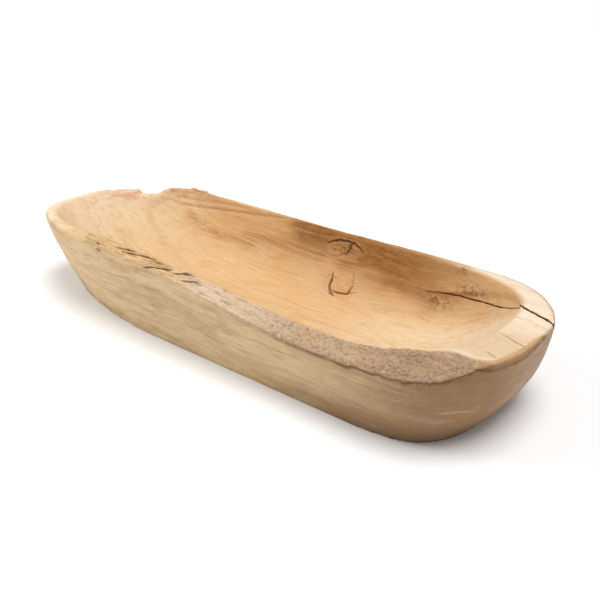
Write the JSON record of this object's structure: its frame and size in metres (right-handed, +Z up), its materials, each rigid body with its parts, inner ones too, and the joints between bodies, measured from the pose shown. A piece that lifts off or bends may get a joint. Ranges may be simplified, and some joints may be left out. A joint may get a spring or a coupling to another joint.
{
  "type": "carved wooden bowl",
  "caption": "Long boat-shaped bowl hollowed from one slab of root wood, with a flat foot, a level sawn rim and a rough weathered front edge; holds fruit or bread.",
  "frame": {"origin": "on the ground under the middle of the bowl's bounding box", "axes": "+X from the narrow end to the blunt end, +Y from the weathered front edge to the back wall, +Z up out of the hollow"},
  "size_m": [0.511, 0.1748, 0.0783],
  "materials": {
    "teak_root": "hand sanded and lightly oiled, matt"
  },
  "bodies": {
    "root": {"bowl_body": "teak_root"}
  },
  "joints": []
}
